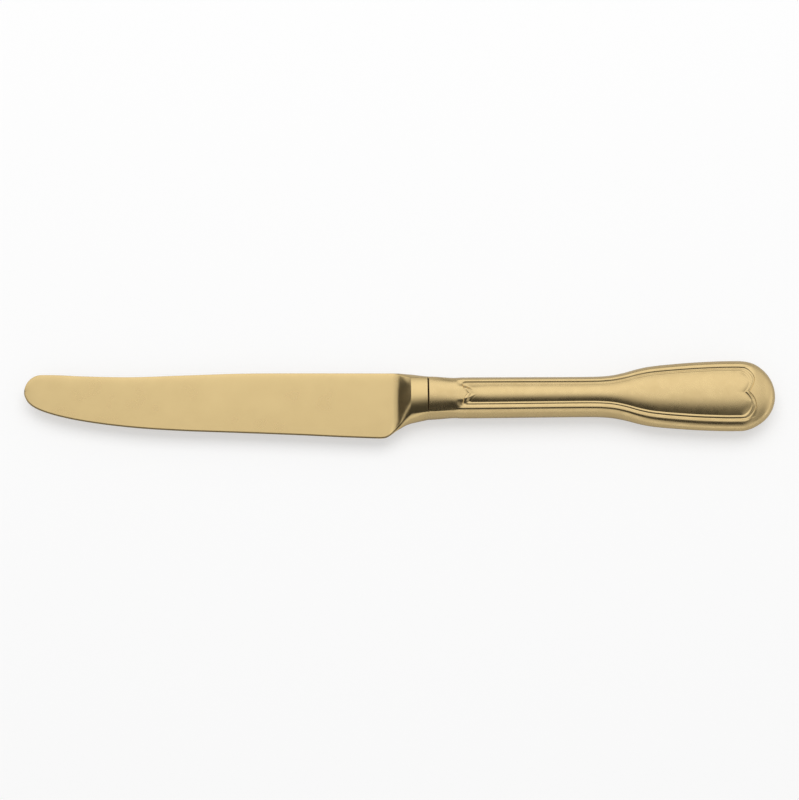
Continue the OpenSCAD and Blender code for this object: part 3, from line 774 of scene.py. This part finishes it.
set_cement = bpy.data.materials.new("set handle cement, matte mineral grey")
set_cement.use_nodes = True
place = add_node(set_cement, "ShaderNodeTexCoord").outputs["Object"]
grit = add_node(set_cement, "ShaderNodeTexNoise",
                {"Vector": place, "Scale": 1 / (CEMENT_GRIT * MM), "Detail": 4.0})
tint = add_node(set_cement, "ShaderNodeMix",
                {"Factor": grit.outputs["Fac"], "A": colour("#9a9384"), "B": colour("#7f796c")},
                data_type="RGBA")
relief = add_node(set_cement, "ShaderNodeBump",
                  {"Height": grit.outputs["Fac"], "Distance": CEMENT_GRIT_DEPTH * MM})
shader = set_cement.node_tree.nodes["Principled BSDF"]
shader.inputs["Roughness"].default_value = 0.85
set_cement.node_tree.links.new(tint.outputs["Result"], shader.inputs["Base Color"])
set_cement.node_tree.links.new(relief.outputs["Normal"], shader.inputs["Normal"])
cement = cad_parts["handle_cement"]
cement.data.materials.clear()
cement.data.materials.append(set_cement)

# The table. A pale matte top carries the knife and takes its soft shadow. The camera sees it white,
# and the metal mirrors it a little brighter than the lamp alone makes it.

FLOOR_SIZE = 3.0
TABLE_GREY = 0.5
TABLE_GLOW = 0.5
TABLE_GLOW_IN_METAL = 0.2


def plane(name, corners):
    """Stage piece of one flat face with four corners."""
    mesh = bpy.data.meshes.new(name)
    mesh.from_pydata(corners, [], [(0, 1, 2, 3)])
    mesh.update()
    piece = bpy.data.objects.new(name, mesh)
    bpy.context.scene.collection.objects.link(piece)
    return piece


half = FLOOR_SIZE / 2
table_top = plane("table_top", [
    (-half, -half, 0), (half, -half, 0), (half, half, 0), (-half, half, 0),
])
pale_table = bpy.data.materials.new("white matte table top")
pale_table.use_nodes = True
pale_table.node_tree.nodes.clear()
rays = add_node(pale_table, "ShaderNodeLightPath")
seen = add_node(pale_table, "ShaderNodeMath",
                {0: rays.outputs["Is Glossy Ray"], 1: TABLE_GLOW_IN_METAL,
                 2: rays.outputs["Is Camera Ray"]},
                operation="MULTIPLY_ADD")
matte = add_node(pale_table, "ShaderNodeBsdfDiffuse",
                 {"Color": (TABLE_GREY, TABLE_GREY, TABLE_GREY, 1)})
lit = add_node(pale_table, "ShaderNodeMath", {0: seen.outputs[0], 1: TABLE_GLOW},
               operation="MULTIPLY")
glow = add_node(pale_table, "ShaderNodeEmission",
                {"Color": (1, 1, 1, 1), "Strength": lit.outputs[0]})
both = add_node(pale_table, "ShaderNodeAddShader", {0: matte.outputs[0], 1: glow.outputs[0]})
add_node(pale_table, "ShaderNodeOutputMaterial", {"Surface": both.outputs[0]})
table_top.data.materials.append(pale_table)

# The light tent. White cloth in a half circle stands over the knife along its length, and cloth
# closes it beyond the tip. Only the metal mirrors it: it is dark in the slot that the camera looks
# through, and duller down at the foot of its back.

# Brightness of the cloth against the angle off the vertical, in degrees towards the cutting edge
TENT_LEVELS = [
    (-90, 0.35), (-78, 0.35), (-68, 0.95), (-55, 1.15), (-32, 1.15), (-22, 1.13), (-15, 1.0),
    (-7, 0.7), (0, 0.42), (7, 0.14), (13, 0.04), (58, 0.04), (66, 0.4), (72, 0.9), (90, 0.9),
]
# Share of it that is left at a place along the tent, in metres
TENT_SHARES = [(-2, 0.8), (-1.36, 0.65), (-1.15, 0.65), (-0.52, 0.82), (-0.35, 0.95), (-0.2, 1)]
# How far an even level takes the place of those levels, again along the tent: the cloth has no slot
# at its ends
TENT_ENDS = [
    (-2, 1), (-1.8, 1), (-1.3, 0), (0.4, 0), (0.65, 0.65), (0.95, 0.65), (1.15, 0.25), (1.4, 0.25),
    (1.7, 1), (2, 1),
]
TENT_ENDS_LEVEL = 0.7
TENT_RADIUS = 1.0
TENT_END = 2.0
TENT_TURN = 89.9
TENT_STEPS = 91
tent_cloth = bpy.data.materials.new("white tent cloth, lit from outside")
tent_cloth.use_nodes = True
tent_cloth.node_tree.nodes.clear()
place = add_node(tent_cloth, "ShaderNodeTexCoord").outputs["Object"]
axes = add_node(tent_cloth, "ShaderNodeSeparateXYZ", {"Vector": place}).outputs


def graded(value, low, high, table):
    """Grey level at a value, in straight lines between a table's places and their levels."""
    share = add_node(tent_cloth, "ShaderNodeMapRange",
                     {"Value": value, "From Min": low, "From Max": high})
    shades = add_node(tent_cloth, "ShaderNodeValToRGB", {"Fac": share.outputs["Result"]})
    stops = shades.color_ramp.elements
    while len(stops) < len(table):
        stops.new(0.5)
    for stop, (at, level) in zip(stops, table):
        stop.position = (at - low) / (high - low)
        stop.color = (level, level, level, 1)
    return shades.outputs["Color"]


forward = add_node(tent_cloth, "ShaderNodeMath", {0: axes["Y"], 1: -1.0}, operation="MULTIPLY")
turn = add_node(tent_cloth, "ShaderNodeMath", {0: forward.outputs[0], 1: axes["Z"]},
                operation="ARCTAN2")
degrees = add_node(tent_cloth, "ShaderNodeMath", {0: turn.outputs[0], 1: math.degrees(1)},
                   operation="MULTIPLY")
cloth_tone = add_node(tent_cloth, "ShaderNodeMix", {
    "Factor": graded(axes["X"], -TENT_END, TENT_END, TENT_ENDS),
    "A": graded(degrees.outputs[0], -90, 90, TENT_LEVELS),
    "B": (TENT_ENDS_LEVEL, TENT_ENDS_LEVEL, TENT_ENDS_LEVEL, 1),
}, data_type="RGBA")
cloth_light = add_node(tent_cloth, "ShaderNodeEmission", {
    "Color": cloth_tone.outputs["Result"],
    "Strength": graded(axes["X"], -TENT_END, TENT_END, TENT_SHARES),
})
add_node(tent_cloth, "ShaderNodeOutputMaterial", {"Surface": cloth_light.outputs[0]})

# Black felt: no sheen at all
flag_cloth = bpy.data.materials.new("dark flag cloth")
flag_cloth.use_nodes = True
shader = flag_cloth.node_tree.nodes["Principled BSDF"]
shader.inputs["Base Color"].default_value = colour("#1f1c18")
shader.inputs["Roughness"].default_value = 1.0
shader.inputs["Specular IOR Level"].default_value = 0.0


def tent_piece(name, corners, material, faces=((0, 1, 2, 3),)):
    """Stage mesh of the given corners and faces, which only the metal's reflections show."""
    mesh = bpy.data.meshes.new(name)
    mesh.from_pydata(corners, [], faces)
    mesh.update()
    cloth = bpy.data.objects.new(name, mesh)
    bpy.context.scene.collection.objects.link(cloth)
    cloth.data.materials.append(material)
    cloth.visible_camera = False
    cloth.visible_shadow = False
    cloth.visible_diffuse = False


# A half circle carried along X
turns = np.radians(np.linspace(-TENT_TURN, TENT_TURN, TENT_STEPS))
arch = np.stack([-np.sin(turns), np.cos(turns)], -1) * TENT_RADIUS
ends = [np.c_[np.full(len(arch), end), arch] for end in (-TENT_END, TENT_END)]
step = np.arange(len(arch) - 1)
tent_piece("tent", np.concatenate(ends).tolist(), tent_cloth,
           np.stack([step, step + 1, step + 1 + len(arch), step + len(arch)], -1).tolist())
CLOTH_FOOT = 0.001
tent_piece("tip_cloth", [
    (-TENT_END, -TENT_RADIUS, CLOTH_FOOT), (-TENT_END, TENT_RADIUS, CLOTH_FOOT),
    (-TENT_END, TENT_RADIUS, TENT_RADIUS), (-TENT_END, -TENT_RADIUS, TENT_RADIUS),
], tent_cloth)
# A black card, which the ramp mirrors, stands on an arc round the knife, from the tip's side round
# towards the spine's. Its top eases up on the way
CARD_RADIUS = 0.9
CARD_FROM, CARD_TO = 6, 37
CARD_STEPS = 19
CARD_HEIGHT = 0.42
CARD_RISE = 0.2
CARD_RISE_FROM, CARD_RISE_TO = 18, 30
around = np.linspace(CARD_FROM, CARD_TO, CARD_STEPS)
turns = np.radians(around)
rise = CARD_RISE * ease((around - CARD_RISE_FROM) / (CARD_RISE_TO - CARD_RISE_FROM))
level = 0 * turns
foot_line = np.stack([-np.cos(turns), np.sin(turns), level], -1) * CARD_RADIUS + (0, 0, CLOTH_FOOT)
top_line = foot_line + np.stack([level, level, CARD_HEIGHT + rise], -1)
step = np.arange(CARD_STEPS - 1)
tent_piece("tip_card", np.concatenate([foot_line, top_line]).tolist(), flag_cloth,
           np.stack([step, step + 1, step + 1 + CARD_STEPS, step + CARD_STEPS], -1).tolist())

# The lamp and the room. One soft box over the table gives the plain light and the shadow, and the
# room is white to the camera and to the metal.


def soft_box(name, place, aim, size, radiance):
    """Area lamp whose power gives the radiance wanted: power is pi times area times radiance."""
    lamp = bpy.data.lights.new(name, "AREA")
    lamp.shape = "RECTANGLE"
    lamp.size, lamp.size_y = size
    lamp.energy = math.pi * size[0] * size[1] * radiance
    holder = bpy.data.objects.new(name, lamp)
    holder.location = place
    holder.rotation_euler = (Vector(aim) - Vector(place)).to_track_quat("-Z", "Y").to_euler()
    bpy.context.scene.collection.objects.link(holder)
    holder.visible_camera = False
    holder.visible_glossy = False


soft_box("over_box", place=(0, 0.5, 1.1), aim=(0, 0, 0), size=(1.5, 1.0), radiance=2.0)

ROOM_LIGHT = 0.5
world = bpy.data.worlds.new("white room")
bpy.context.scene.world = world
world.use_nodes = True
rays = add_node(world, "ShaderNodeLightPath")
seen = add_node(world, "ShaderNodeMath",
                {0: rays.outputs["Is Camera Ray"], 1: rays.outputs["Is Glossy Ray"]},
                operation="MAXIMUM")
level = add_node(world, "ShaderNodeMapRange",
                 {"Value": seen.outputs[0], "To Min": ROOM_LIGHT, "To Max": 1.0})
background = world.node_tree.nodes["Background"]
background.inputs["Color"].default_value = (1, 1, 1, 1)
world.node_tree.links.new(level.outputs["Result"], background.inputs["Strength"])

# The camera, at the photograph's angle: above the knife's front, leaning 20 degrees towards the
# cutting edge. Its distance, its aim and the width that it frames are in millimetres.
CAMERA_DISTANCE = 560
CAMERA_LEAN = 20
CAMERA_ROLL = 0.42
CAMERA_AIM = 0.08, AXIS_Y - 0.55, MID_Z
FRAME_WIDTH = 255.1

camera_data = bpy.data.cameras.new("camera")
camera_data.sensor_fit = "HORIZONTAL"
camera_data.lens = camera_data.sensor_width * CAMERA_DISTANCE / FRAME_WIDTH
camera = bpy.data.objects.new("camera", camera_data)
bpy.context.scene.collection.objects.link(camera)
lean = math.radians(CAMERA_LEAN)
back = CAMERA_DISTANCE * np.array([0, -math.sin(lean), math.cos(lean)])
camera.location = ((np.array(CAMERA_AIM) + back) * MM).tolist()
roll = Matrix.Rotation(math.radians(-CAMERA_ROLL), 3, "Z")
camera.rotation_euler = (Matrix.Rotation(lean, 3, "X") @ roll).to_euler()
bpy.context.scene.camera = camera
bpy.context.scene.view_settings.view_transform = "Standard"
